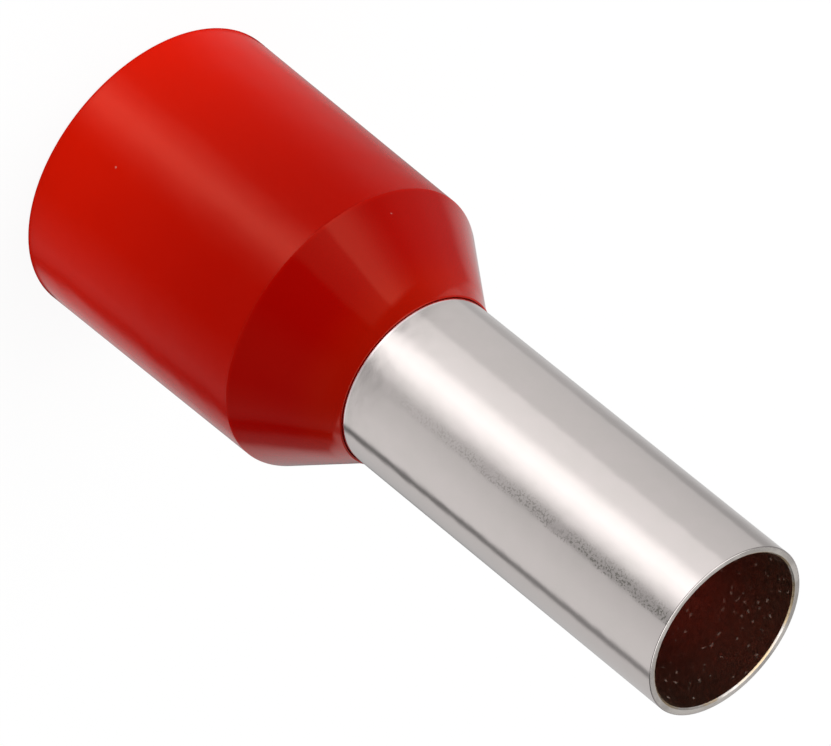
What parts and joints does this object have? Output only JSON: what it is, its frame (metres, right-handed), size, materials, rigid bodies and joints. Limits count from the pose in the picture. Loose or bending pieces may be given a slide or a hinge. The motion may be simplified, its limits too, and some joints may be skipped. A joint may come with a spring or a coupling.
{
  "type": "insulated wire ferrule",
  "caption": "Thin plated metal tube with a moulded plastic funnel collar, crimped on the stripped end of a stranded wire so that it can go into a terminal.",
  "frame": {"origin": "centre of the collar's rear rim, on the surface that the ferrule stands on", "axes": "+Z along the common axis of collar and tube, from the collar's rear rim to the tube's open mouth; X and Y are any two directions across it"},
  "size_m": [0.0084, 0.0084, 0.022],
  "materials": {
    "tin_plating": "gloss",
    "red_polypropylene": "satin"
  },
  "bodies": {
    "root": {"crimp_tube": "tin_plating", "insulating_collar": "red_polypropylene"}
  },
  "joints": []
}
